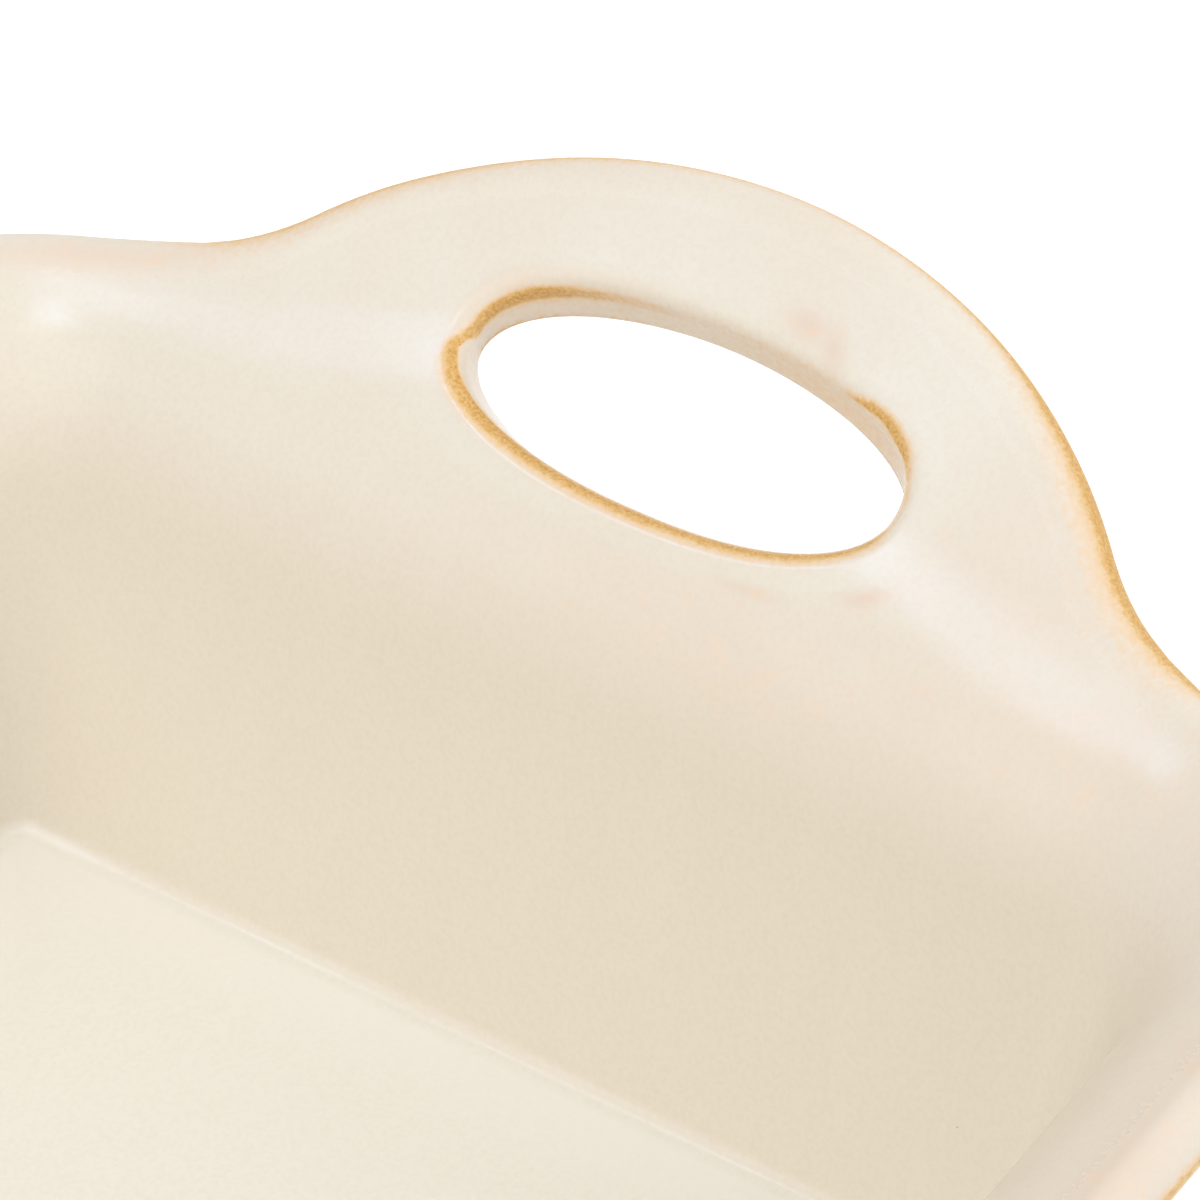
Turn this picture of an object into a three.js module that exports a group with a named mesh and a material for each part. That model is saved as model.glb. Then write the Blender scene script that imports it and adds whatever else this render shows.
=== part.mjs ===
// Square stoneware baking dish with a looped handle at each end.
// Millimetres, +Z up, standing on z = 0, with the handles at -X and +X.
// The clay pieces are modelled as they are joined before firing.
// Walls stand on the floor slab and meet in mitres at the corners.
import * as THREE from "three";

// Flat floor inside the dish
const floorHalfWidth = 73.4;
const floorCornerRadius = 4;
const floorThickness = 8;
const floorEdgeRadius = 7;

// Wall section, measured up the inside face
const wallThickness = 8;
const wallLean = 72.7;
const wallLength = 47.6;
const bendRadius = 35;
const flareAngle = 35;
const flareLength = 10;

// Handle outline, measured in the plane of the flare from the plain rim
const handleRise = 37.4;
const handleHalfSpan = 84;
const handleCrownRadius = 77;

// Finger hole, a rounded oval with softened edges
const holeRise = 5.5;
const holeHalfWidth = 30.2;
const holeHalfHeight = 11.6;
const holeSquareness = 2.27;
const holeEdgeRadius = 2.2;

// Foot ring under the floor
const footHeight = 3;
const footWidth = 7;
const footInset = 12;
const footCornerRadius = 9;
const footTaper = 0.8;

// Fineness of the meshes
const cornerSteps = 5;
const straightSteps = 2;
const wallRows = 2;
const bendRows = 4;
const upperRows = 3;
const lipRows = 4;
const holeSteps = 16;
const loopSteps = 28;
const edgeRows = 4;
const curveSamples = 240;
const edgeRoundSteps = 4;

// Values that follow from the sizes above
const radians = THREE.MathUtils.degToRad;
const leanTurn = radians(wallLean);
const flareTurn = radians(flareAngle);
const lipRadius = wallThickness / 2;
const floorOuterHalf = floorHalfWidth + wallThickness / Math.sin(leanTurn);
const bendLength = bendRadius * (leanTurn - flareTurn);
const bendEnd = wallLength + bendLength;
const rimReach = bendEnd + flareLength;
const floorTop = footHeight + floorThickness;
const cornerCentre = floorHalfWidth - floorCornerRadius;
const crownReach = rimReach + handleRise;
const rootReach = rimReach + holeRise;
const arcRadii = (handleHalfSpan ** 2 + handleRise ** 2) / (2 * handleRise);
const handleBlendRadius = arcRadii - handleCrownRadius;
const crownHalfWidth = (handleHalfSpan * handleCrownRadius) / arcRadii;
const rimRadius = section(rimReach).n - cornerCentre;
const mitreReach = cornerCentre + (rimRadius * Math.PI) / 4;
const rootHalfWidth = outlineHalfWidth(rootReach);

// Point of the inside face and its slope, a given length up the wall section
function section(reach) {
  const straight = Math.min(reach, wallLength);
  const turned = THREE.MathUtils.clamp(reach - wallLength, 0, bendLength) / bendRadius;
  const flared = Math.max(reach - bendEnd, 0);
  const slope = leanTurn - turned;
  const n =
    floorHalfWidth +
    straight * Math.cos(leanTurn) +
    bendRadius * (Math.sin(leanTurn) - Math.sin(slope)) +
    flared * Math.cos(flareTurn);
  const z =
    floorTop +
    straight * Math.sin(leanTurn) +
    bendRadius * (Math.cos(slope) - Math.cos(leanTurn)) +
    flared * Math.sin(flareTurn);
  return { n, z, slope };
}

// Place a point of the wall at +X: along the wall, up the section, and in from the middle of its thickness
function wallPoint(along, reach, inward) {
  const { n, z, slope } = section(reach);
  const shift = inward - lipRadius;
  const out = n - shift * Math.sin(slope);
  const height = z + shift * Math.cos(slope);
  return roundCorner(along, out, height);
}

// Carry a wall's distance along and out from the middle of the dish round the corner to its mitre
function roundCorner(along, out, height) {
  const past = Math.abs(along) - cornerCentre;
  if (past <= 0) {
    return new THREE.Vector3(out, along, height);
  }
  const turn = past / rimRadius;
  const radius = out - cornerCentre;
  const x = cornerCentre + radius * Math.cos(turn);
  const y = cornerCentre + radius * Math.sin(turn);
  return new THREE.Vector3(x, Math.sign(along) * y, height);
}

// Top edge of the wall and handle, as a length up the section
function outlineReach(along) {
  const t = Math.abs(along);
  if (t < crownHalfWidth) {
    return crownReach - handleCrownRadius + Math.sqrt(handleCrownRadius ** 2 - t ** 2);
  }
  const left = Math.max(handleHalfSpan - t, 0);
  return rimReach + handleBlendRadius - Math.sqrt(handleBlendRadius ** 2 - left ** 2);
}

// Half the width of the handle's outline at a length up the section
function outlineHalfWidth(reach) {
  const crownFoot = outlineReach(crownHalfWidth);
  if (reach > crownFoot) {
    return Math.sqrt(handleCrownRadius ** 2 - (handleCrownRadius - crownReach + reach) ** 2);
  }
  const rise = handleBlendRadius - (reach - rimReach);
  return handleHalfSpan - Math.sqrt(handleBlendRadius ** 2 - rise ** 2);
}

// Edge of the finger hole at an angle from +along
function holePoint(angle) {
  const power = 2 / holeSquareness;
  const c = Math.cos(angle);
  const s = Math.sin(angle);
  const along = Math.sign(c) * holeHalfWidth * Math.abs(c) ** power;
  const rise = Math.sign(s) * holeHalfHeight * Math.abs(s) ** power;
  return new THREE.Vector2(along, rootReach + rise);
}

// Edges that end in a rounded lip, sampled in the plane of the flare
const holeEdge = { line: [], radius: holeEdgeRadius };
const outerEdge = { line: [], radius: lipRadius };
for (let i = 0; i <= curveSamples; i += 1) {
  const share = i / curveSamples;
  holeEdge.line.push(holePoint(2 * Math.PI * share));
  const along = THREE.MathUtils.lerp(-mitreReach, mitreReach, share);
  outerEdge.line.push(new THREE.Vector2(along, outlineReach(along)));
}
const plainLine = [new THREE.Vector2(-mitreReach, rimReach), new THREE.Vector2(mitreReach, rimReach)];
const plainEdge = { line: plainLine, radius: lipRadius };

// Shortest distance from a point to a run of short lines
function edgeDistance(point, line) {
  let best = Infinity;
  const along = new THREE.Vector2();
  const offset = new THREE.Vector2();
  for (let i = 1; i < line.length; i += 1) {
    along.subVectors(line[i], line[i - 1]);
    offset.subVectors(point, line[i - 1]);
    const share = THREE.MathUtils.clamp(offset.dot(along) / along.lengthSq(), 0, 1);
    best = Math.min(best, offset.addScaledVector(along, -share).length());
  }
  return best;
}

// Half the thickness a given distance in from a rounded edge
function roundedHalf(distance, radius) {
  const short = Math.max(1 - distance / radius, 0);
  return wallThickness / 2 - radius + radius * Math.sqrt(1 - short ** 2);
}

// Half the thickness at a point, thinned by the nearest rounded edge
function halfThickness(point, edges) {
  return Math.min(...edges.map(({ line, radius }) => roundedHalf(edgeDistance(point, line), radius)));
}

// Closed body from triangles given as rows of points, with equal points joined and faces turned outward
function closedBody(triangles) {
  const keys = new Map();
  const places = [];
  const index = [];
  const grid = 1e4;
  const indexOf = (p) => {
    const key = [p.x, p.y, p.z].map((v) => Math.round(v * grid)).join(" ");
    if (!keys.has(key)) {
      keys.set(key, places.length);
      places.push(p);
    }
    return keys.get(key);
  };
  let volume = 0;
  for (const [a, b, c] of triangles) {
    const corners = [indexOf(a), indexOf(b), indexOf(c)];
    if (new Set(corners).size === 3) {
      index.push(corners);
      volume += a.dot(new THREE.Vector3().crossVectors(b, c));
    }
  }
  const facing = index.map(([a, b, c]) => (volume > 0 ? [a, b, c] : [a, c, b]));
  const geometry = new THREE.BufferGeometry().setFromPoints(places);
  geometry.setIndex(facing.flat());
  geometry.computeVertexNormals();
  return geometry;
}

// Two triangles between four corners in order
function quad(a, b, c, d) {
  return [
    [a, b, c],
    [a, c, d],
  ];
}

// Closed plate between an inside and an outside net of points
function plate(inside, outside) {
  const triangles = [];
  const lastColumn = inside.length - 1;
  const lastRow = inside[0].length - 1;
  for (let i = 0; i < lastColumn; i += 1) {
    for (let j = 0; j < lastRow; j += 1) {
      triangles.push(...quad(inside[i][j], inside[i][j + 1], inside[i + 1][j + 1], inside[i + 1][j]));
      triangles.push(...quad(outside[i][j], outside[i + 1][j], outside[i + 1][j + 1], outside[i][j + 1]));
    }
    triangles.push(...quad(inside[i][0], inside[i + 1][0], outside[i + 1][0], outside[i][0]));
    const top = [inside[i][lastRow], outside[i][lastRow], outside[i + 1][lastRow], inside[i + 1][lastRow]];
    triangles.push(...quad(...top));
  }
  for (let j = 0; j < lastRow; j += 1) {
    triangles.push(...quad(inside[0][j], outside[0][j], outside[0][j + 1], inside[0][j + 1]));
    const end = [inside[lastColumn], outside[lastColumn]];
    triangles.push(...quad(end[0][j], end[0][j + 1], end[1][j + 1], end[1][j]));
  }
  return closedBody(triangles);
}

// Distances in from an edge that show its rounding
function edgeSteps(radius, count) {
  const steps = [];
  for (let i = 0; i <= count; i += 1) {
    steps.push(radius * (1 - Math.cos((Math.PI / 2) * (i / count))));
  }
  return steps;
}

// Places across one foot of the handle, from the finger hole to the outer edge
function footColumns() {
  const fromHole = edgeSteps(holeEdgeRadius, edgeRows).map((d) => holeHalfWidth + d);
  const inset = new THREE.Vector2(rootHalfWidth - lipRadius, rootReach);
  const slant = lipRadius / edgeDistance(inset, outerEdge.line);
  const fromOuter = edgeSteps(lipRadius, edgeRows).map((d) => rootHalfWidth - d * slant);
  return [...fromHole, ...fromOuter.reverse()];
}

// Columns of a wall as places along it with the height of its top edge
function cornerColumns() {
  const columns = [];
  for (let i = 0; i <= cornerSteps; i += 1) {
    columns.push(THREE.MathUtils.lerp(mitreReach, cornerCentre, i / cornerSteps));
  }
  return columns;
}

function plainColumns() {
  const columns = [];
  for (const along of cornerColumns()) {
    columns.push({ along, top: rimReach, edge: plainEdge });
  }
  for (let i = 1; i < straightSteps; i += 1) {
    const along = THREE.MathUtils.lerp(cornerCentre, -cornerCentre, i / straightSteps);
    columns.push({ along, top: rimReach, edge: plainEdge });
  }
  for (const along of cornerColumns().reverse()) {
    columns.push({ along: -along, top: rimReach, edge: plainEdge });
  }
  return columns;
}

function handleWallColumns() {
  const half = [];
  for (const along of cornerColumns()) {
    half.push({ along, top: outlineReach(along), edge: outerEdge });
  }
  const foot = footColumns().reverse();
  const footEdges = new Map([
    [0, outerEdge],
    [foot.length - 1, holeEdge],
  ]);
  foot.forEach((along, i) => {
    half.push({ along, top: rootReach, edge: footEdges.get(i) });
  });
  const middle = [];
  for (let i = 1; i < holeSteps; i += 1) {
    const edge = holePoint(-Math.PI * (i / holeSteps));
    middle.push({ along: edge.x, top: edge.y, edge: holeEdge });
  }
  const other = half.map((column) => ({ ...column, along: -column.along })).reverse();
  return [...half, ...middle, ...other];
}

// Lengths up the section for one column of a wall
function rowReaches(top) {
  const rows = [];
  for (let i = 0; i < wallRows; i += 1) {
    rows.push((wallLength * i) / wallRows);
  }
  const bendTop = wallLength + (bendLength * bendRows) / (bendRows + 2);
  for (let i = 0; i <= bendRows; i += 1) {
    rows.push(THREE.MathUtils.lerp(wallLength, bendTop, i / bendRows));
  }
  for (let i = 1; i < upperRows; i += 1) {
    rows.push(THREE.MathUtils.lerp(bendTop, top - lipRadius, i / upperRows));
  }
  for (const d of edgeSteps(lipRadius, lipRows).reverse()) {
    rows.push(top - d);
  }
  return rows;
}

// Wall at +X from its columns and the edges that have a rounded lip
function wall(columns, edges) {
  const inside = [];
  const outside = [];
  for (const { along, top, edge } of columns) {
    const rows = rowReaches(top);
    const half = rows.map((reach, j) => {
      const atEdge = edge && j === rows.length - 1;
      return atEdge ? roundedHalf(0, edge.radius) : halfThickness(new THREE.Vector2(along, reach), edges);
    });
    inside.push(rows.map((reach, j) => wallPoint(along, reach, half[j])));
    const face = rows.map((reach, j) => wallPoint(along, reach, -half[j]));
    face[0] = roundCorner(along, floorOuterHalf, floorTop);
    outside.push(face);
  }
  return plate(inside, outside);
}

// Points along the top of the handle at equal steps
function crownPoints(count) {
  const curve = [];
  for (let i = 0; i <= curveSamples; i += 1) {
    const along = THREE.MathUtils.lerp(rootHalfWidth, -rootHalfWidth, i / curveSamples);
    curve.push(new THREE.Vector3(along, outlineReach(along), 0));
  }
  const path = new THREE.CurvePath();
  for (let i = 1; i < curve.length; i += 1) {
    path.add(new THREE.LineCurve3(curve[i - 1], curve[i]));
  }
  return path.getSpacedPoints(count);
}

// Loop of the handle at +X, from the feet on the wall up over the finger hole
function handle() {
  const inside = [];
  const outside = [];
  const crown = crownPoints(loopSteps);
  const foot = footColumns();
  const shares = foot.map((along) => (along - holeHalfWidth) / (rootHalfWidth - holeHalfWidth));
  for (let i = 0; i <= loopSteps; i += 1) {
    const low = holePoint(Math.PI * (i / loopSteps));
    const high = new THREE.Vector2(crown[i].x, crown[i].y);
    const atFoot = i === 0 || i === loopSteps;
    if (atFoot) {
      low.set(Math.sign(low.x) * holeHalfWidth, rootReach);
      high.set(Math.sign(low.x) * rootHalfWidth, rootReach);
    }
    const line = shares.map((share) => new THREE.Vector2().lerpVectors(low, high, share));
    const half = line.map((point) => halfThickness(point, [holeEdge, outerEdge]));
    half[0] = roundedHalf(0, holeEdge.radius);
    half[half.length - 1] = roundedHalf(0, outerEdge.radius);
    inside.push(line.map((point, j) => wallPoint(point.x, point.y, half[j])));
    outside.push(line.map((point, j) => wallPoint(point.x, point.y, -half[j])));
  }
  return plate(inside, outside);
}

// Rounded square loop of points at one height
function squareLoop(halfWidth, radius, height) {
  const loop = [];
  const offset = halfWidth - radius;
  for (let side = 0; side < 4; side += 1) {
    for (let i = 0; i <= 2 * cornerSteps; i += 1) {
      const turn = (Math.PI / 2) * (side + i / (2 * cornerSteps));
      const centre = new THREE.Vector3(offset, offset, height);
      centre.applyAxisAngle(new THREE.Vector3(0, 0, 1), (Math.PI / 2) * side);
      loop.push(centre.add(new THREE.Vector3(radius * Math.cos(turn), radius * Math.sin(turn), 0)));
    }
  }
  return loop;
}

// Bands of triangles from loop to loop
function bands(loops) {
  const triangles = [];
  for (let k = 1; k < loops.length; k += 1) {
    const low = loops[k - 1];
    const high = loops[k];
    low.forEach((point, i) => {
      const next = (i + 1) % low.length;
      triangles.push(...quad(point, low[next], high[next], high[i]));
    });
  }
  return triangles;
}

// Flat cap over a loop
function cap(loop, upward) {
  const middle = new THREE.Vector3(0, 0, loop[0].z);
  return loop.map((point, i) => {
    const next = loop[(i + 1) % loop.length];
    return upward ? [middle, point, next] : [middle, next, point];
  });
}

// Floor slab with its edge leaning on from the walls and rounded below
function floorSlab() {
  const edgeRadius = Math.min(floorEdgeRadius, floorThickness);
  const roundTop = footHeight + edgeRadius;
  const inset = (floorTop - roundTop) / Math.tan(leanTurn);
  const loops = [];
  for (let i = 0; i <= edgeRoundSteps; i += 1) {
    const turn = (Math.PI / 2) * (i / edgeRoundSteps);
    const half = floorOuterHalf - inset - edgeRadius * (1 - Math.sin(turn));
    loops.push(squareLoop(half, half - cornerCentre, roundTop - edgeRadius * Math.cos(turn)));
  }
  loops.push(squareLoop(floorOuterHalf, floorOuterHalf - cornerCentre, floorTop));
  const faces = [...bands(loops), ...cap(loops[0], false), ...cap(loops[loops.length - 1], true)];
  return closedBody(faces);
}

// Square ring that the dish stands on
function footRing() {
  const outer = floorOuterHalf - footInset;
  const inner = outer - footWidth;
  const innerCorner = footCornerRadius - footWidth;
  const ring = [
    squareLoop(outer, footCornerRadius, footHeight),
    squareLoop(outer - footTaper, footCornerRadius - footTaper, 0),
    squareLoop(inner + footTaper, innerCorner + footTaper, 0),
    squareLoop(inner, innerCorner, footHeight),
  ];
  return closedBody(bands([...ring, ring[0]]));
}

const glaze = new THREE.MeshStandardMaterial({ color: 0xeee5d5, roughness: 0.35 });
glaze.name = "glazed_stoneware";
const bareClay = new THREE.MeshStandardMaterial({ color: 0xb98f62, roughness: 0.9 });
bareClay.name = "bare_stoneware";

const dish = new THREE.Group();
dish.name = "square_baking_dish";

function addPiece(name, geometry, material, quarterTurns) {
  const turned = geometry.clone().rotateZ((Math.PI / 2) * quarterTurns);
  const piece = new THREE.Mesh(turned, material);
  piece.name = name;
  dish.add(piece);
}

const handleWall = wall(handleWallColumns(), [holeEdge, outerEdge]);
const plainWall = wall(plainColumns(), [plainEdge]);
const loop = handle();

addPiece("floor_slab", floorSlab(), glaze, 0);
addPiece("foot_ring", footRing(), bareClay, 0);
addPiece("wall_right", handleWall, glaze, 0);
addPiece("wall_back", plainWall, glaze, 1);
addPiece("wall_left", handleWall, glaze, 2);
addPiece("wall_front", plainWall, glaze, 3);
addPiece("handle_right", loop, glaze, 0);
addPiece("handle_left", loop, glaze, 2);

export default dish;
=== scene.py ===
"""Looks of a square stoneware baking dish with a looped handle at each end.

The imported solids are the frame. One glazed shell, a bare clay foot ring and the roll of glaze above it
stand for them. Sizes are in millimetres until a mesh is made.
"""

import logging
import math
from collections.abc import Callable
from dataclasses import dataclass, field
from enum import Enum
from functools import partial
from typing import Any

import bmesh
import bpy
import numpy as np
from mathutils import Matrix, Vector


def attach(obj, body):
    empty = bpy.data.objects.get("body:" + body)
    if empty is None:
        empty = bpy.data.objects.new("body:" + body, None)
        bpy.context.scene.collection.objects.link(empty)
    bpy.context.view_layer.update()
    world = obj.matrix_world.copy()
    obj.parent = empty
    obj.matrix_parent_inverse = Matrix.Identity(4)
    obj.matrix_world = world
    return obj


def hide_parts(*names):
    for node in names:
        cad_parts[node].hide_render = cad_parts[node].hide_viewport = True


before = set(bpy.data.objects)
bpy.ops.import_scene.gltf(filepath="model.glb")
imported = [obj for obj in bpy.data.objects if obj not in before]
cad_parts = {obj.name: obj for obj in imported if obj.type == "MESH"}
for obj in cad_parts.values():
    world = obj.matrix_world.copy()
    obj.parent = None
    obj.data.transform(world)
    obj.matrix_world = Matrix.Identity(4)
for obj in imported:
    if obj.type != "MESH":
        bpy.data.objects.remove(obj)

LOG = logging.getLogger("baking_dish")
MM = 0.001
WELD = 0.00001
IMAGE_SIZE = 1200
SENSOR_MM = 36.0
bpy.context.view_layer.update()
# Distance from an edge that a wall doesn't have, and space between the walls in the flat net, in millimetres.
FAR = 1e3
NET_SPACING = 230.0
# Lamps aim at this point, in metres. One that is nearer the zenith than this reach has its length along Y.
LAMP_AIM = Vector((0, 0, 0.05))
ZENITH_REACH = 0.55

# Blender's names for the nodes that are used most, and settings that many of them share.
MATH = "ShaderNodeMath"
RANGE = "ShaderNodeMapRange"
MIX = "ShaderNodeMix"
NOISE = "ShaderNodeTexNoise"
ATTRIBUTE = "ShaderNodeAttribute"
COMBINE = "ShaderNodeCombineXYZ"
NET_VALUE = "GeometryNodeInputNamedAttribute"
SMOOTH = {"interpolation_type": "SMOOTHSTEP"}
COLOURS = {"data_type": "RGBA", "out": 2}

Adder = Callable[..., Any]
Stops = tuple[tuple[float, float], ...]


class Face(Enum):
    """Which face of a slab of clay, by the sign of its offset from the middle."""

    INSIDE = 1.0
    OUTSIDE = -1.0


class WallKind(Enum):
    """A wall with a handle, or a plain one, by its quarter turn round the dish."""

    HANDLED = 0.0
    PLAIN = 1.0


class LightUse(Enum):
    """What a lamp does: lights the clay, or only shows in the glaze."""

    FILL = "fill"
    GLOSS = "gloss"


class RingProfile(Enum):
    """Shape swept round the foot."""

    FOOT = "foot"
    ROLL = "roll"


def linear(hex_colour: str) -> tuple[float, float, float, float]:
    """Turn an sRGB hex colour into a linear colour with full alpha.

    Args:
        hex_colour: Six hex digits, with or without a leading hash.

    Returns:
        Red, green, blue and alpha for a shader socket.
    """
    digits = hex_colour.lstrip("#")
    parts = [int(digits[i : i + 2], 16) / 255 for i in (0, 2, 4)]
    straight = [c / 12.92 if c <= 0.04045 else ((c + 0.055) / 1.055) ** 2.4 for c in parts]
    return (straight[0], straight[1], straight[2], 1.0)


def add_node(tree: bpy.types.NodeTree, kind: str, *feeds: Any, out: int | str = 0, **settings: Any) -> Any:
    """Add a node with its settings, and feed its inputs.

    Args:
        tree: The node tree that gets the node.
        kind: Blender's name for the node type.
        *feeds: Values, or sockets to link, in the order of the inputs, or one dict of them by name or number.
        out: Name or number of the output that is wanted.
        **settings: Properties of the node itself.

    Returns:
        The output's socket, or None for a node that has no output.
    """
    node = tree.nodes.new(kind)
    for key, value in settings.items():
        setattr(node, key, value)
    named = feeds[0] if feeds and isinstance(feeds[0], dict) else dict(enumerate(feeds))
    for key, value in named.items():
        if isinstance(value, bpy.types.NodeSocket):
            tree.links.new(value, node.inputs[key])
        else:
            node.inputs[key].default_value = value
    return node.outputs[out] if len(node.outputs) else None


def new_material(name: str) -> tuple[bpy.types.Material, Adder]:
    """Start an empty node material.

    Args:
        name: Name of the material.

    Returns:
        The material, and add_node tied to its tree.
    """
    material = bpy.data.materials.new(name)
    material.use_nodes = True
    material.node_tree.nodes.clear()
    return material, partial(add_node, material.node_tree)


def bell(x: np.ndarray, middle: float, width: float) -> np.ndarray:
    """Rise to 1 at the middle, and fade over the width on both sides."""
    return np.exp(-(((x - middle) / width) ** 2))


def rising(x: np.ndarray, middle: float, width: float) -> np.ndarray:
    """Soft step from 0 to 1 about the middle."""
    return 1 / (1 + np.exp(-(x - middle) / width))


def smooth(share: np.ndarray) -> np.ndarray:
    """Hold a share between 0 and 1 and ease both its ends."""
    held = np.clip(share, 0, 1)
    return held**2 * (3 - 2 * held)


@dataclass(frozen=True)
class WallSection:
    """Section through a wall, measured up its inside face from the start of the cove at the floor."""

    floor_half: float = 73.4
    floor_corner: float = 4.0
    floor_top: float = 11.0
    thickness: float = 8.0
    lean_deg: float = 72.7
    wall_length: float = 47.6
    bend_radius: float = 35.0
    flare_deg: float = 35.0
    flare_length: float = 10.0
    cove_radius: float = 2.8

    @property
    def lean(self) -> float:
        """Lean of the lower wall above level, in radians."""
        return math.radians(self.lean_deg)

    @property
    def flare(self) -> float:
        """Slope of the flare above level, in radians."""
        return math.radians(self.flare_deg)

    @property
    def cove_trim(self) -> float:
        """Length of floor, and of wall, that the cove takes up."""
        return self.cove_radius * math.tan(self.lean / 2)

    @property
    def start_half(self) -> float:
        """Half width of the flat floor inside the cove."""
        return self.floor_half - self.cove_trim

    @property
    def straight(self) -> float:
        """Length of the leaning wall between cove and bend."""
        return self.wall_length - self.cove_trim

    @property
    def wall_end(self) -> float:
        """Reach at which the bend starts."""
        return self.cove_radius * self.lean + self.straight

    @property
    def bend_end(self) -> float:
        """Reach at which the flare starts."""
        return self.wall_end + self.bend_radius * (self.lean - self.flare)

    @property
    def rim(self) -> float:
        """Reach of the plain rim."""
        return self.bend_end + self.flare_length

    @property
    def corner_centre(self) -> float:
        """Distance from the middle of the dish to the upright axis of a corner, along X and Y."""
        return self.floor_half - self.floor_corner

    @property
    def rim_radius(self) -> float:
        """Work out the radius of the rim round a corner.

        Returns:
            The radius.
        """
        bend = self.bend_radius * (math.sin(self.lean) - math.sin(self.flare))
        run = self.wall_length * math.cos(self.lean) + bend + self.flare_length * math.cos(self.flare)
        return self.floor_half + run - self.corner_centre

    @property
    def mitre(self) -> float:
        """Distance along a wall from its middle to the middle of a corner."""
        return self.corner_centre + self.rim_radius * math.pi / 4


@dataclass(frozen=True)
class HandleOutline:
    """Top edge of a handled wall in the plane of its flare: a crown arc that blends into the plain rim."""

    rise: float = 37.4
    half_span: float = 84.0
    crown_radius: float = 77.0

    @property
    def radii(self) -> float:
        """Sum of the crown and blend radii."""
        return (self.half_span**2 + self.rise**2) / (2 * self.rise)

    def above_rim(self, along: np.ndarray) -> np.ndarray:
        """Height of the outline above the plain rim.

        Args:
            along: Distances along the wall from its middle.

        Returns:
            One height for each distance.
        """
        t = np.abs(along)
        blend = self.radii - self.crown_radius
        crown = self.rise - self.crown_radius + np.sqrt(np.maximum(self.crown_radius**2 - t**2, 0))
        left = np.clip(self.half_span - t, 0, blend)
        foot = blend - np.sqrt(blend**2 - left**2)
        return np.where(t < self.half_span * self.crown_radius / self.radii, crown, foot)


@dataclass(frozen=True)
class Oval:
    """Squarish oval in the plane of a flare, measured from the middle of the plain rim."""

    shift: float
    rise: float
    half_width: float
    half_height: float
    squareness: float

    def edge(self, angle: np.ndarray) -> tuple[np.ndarray, np.ndarray]:
        """Points on the oval.

        Args:
            angle: Angles from the direction along the wall.

        Returns:
            Distances along the wall, and up from the plain rim.
        """
        power = 2 / self.squareness
        c, s = np.cos(angle), np.sin(angle)
        along = self.shift + np.sign(c) * self.half_width * np.abs(c) ** power
        return along, self.rise + np.sign(s) * self.half_height * np.abs(s) ** power

    def gap(self, along: np.ndarray, up: np.ndarray) -> np.ndarray:
        """Distance out from the oval, good near it.

        Args:
            along: Distances along the wall.
            up: Distances up from the plain rim.

        Returns:
            One distance for each point.
        """
        q = self.squareness
        t = np.maximum(np.abs(along - self.shift), 1e-6) / self.half_width
        u = np.maximum(np.abs(up - self.rise), 1e-6) / self.half_height
        level = (t**q + u**q) ** (1 / q)
        slope_t = level ** (1 - q) * t ** (q - 1) / self.half_width
        slope_u = level ** (1 - q) * u ** (q - 1) / self.half_height
        return np.maximum(level - 1, 0) / np.hypot(slope_t, slope_u)

    def degrees(self, along: np.ndarray, up: np.ndarray) -> np.ndarray:
        """Angles round the oval, as seen from inside the dish with the right hand at zero.

        Args:
            along: Distances along the wall.
            up: Distances up from the plain rim.

        Returns:
            Angles from 0 to 360.
        """
        angle = np.arctan2((up - self.rise) / self.half_height, -(along - self.shift) / self.half_width)
        return np.mod(np.degrees(angle), 360.0)


@dataclass(frozen=True)
class FingerHole:
    """Hole under a handle's strap, cut a little wider at the inside face than at the back."""

    inside: Oval = Oval(shift=-0.45, rise=5.87, half_width=30.35, half_height=12.12, squareness=2.27)
    outside: Oval = Oval(shift=-0.35, rise=5.2, half_width=30.35, half_height=11.9, squareness=1.95)
    inside_radius: float = 2.8
    outside_radius: float = 2.2

    def oval(self, face: Face) -> Oval:
        """The hole's edge on one face."""
        return self.inside if face is Face.INSIDE else self.outside

    def radius(self, face: Face) -> float:
        """The rounding of the hole's edge on one face."""
        return self.inside_radius if face is Face.INSIDE else self.outside_radius


@dataclass
class Net:
    """Points and faces of a sheet of clay laid flat, with a value of each kind for every point."""

    points: list[np.ndarray] = field(default_factory=list)
    faces: list[tuple[int, ...]] = field(default_factory=list)
    values: dict[str, list[np.ndarray]] = field(default_factory=dict)
    count: int = 0

    def add_grid(self, points: np.ndarray, closed: bool = False, **values: np.ndarray | float) -> None:
        """Add a grid of points and the quads between them.

        Args:
            points: Rows by columns by three.
            closed: Whether the last column joins the first.
            **values: Arrays of rows by columns, or one number for the whole grid.
        """
        rows, columns = points.shape[:2]
        self.points.append(points.reshape(-1, 3))
        for name, value in values.items():
            filled = np.broadcast_to(np.asarray(value, dtype=float), (rows, columns))
            self.values.setdefault(name, []).append(filled.reshape(-1))
        last = columns if closed else columns - 1
        for i in range(rows - 1):
            for j in range(last):
                k = (j + 1) % columns
                corners = (i * columns + j, i * columns + k, (i + 1) * columns + k, (i + 1) * columns + j)
                self.faces.append(tuple(self.count + c for c in corners))
        self.count += rows * columns

    def mesh(self, name: str) -> bpy.types.Mesh:
        """Make a mesh in metres that carries the values as attributes.

        Args:
            name: Name of the mesh.

        Returns:
            The mesh.
        """
        mesh = bpy.data.meshes.new(name)
        mesh.from_pydata((np.concatenate(self.points) * MM).tolist(), [], self.faces)
        for key, parts in self.values.items():
            layer = mesh.attributes.new(key, "FLOAT", "POINT")
            layer.data.foreach_set("value", np.concatenate(parts).astype(np.float32))
        return mesh


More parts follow.
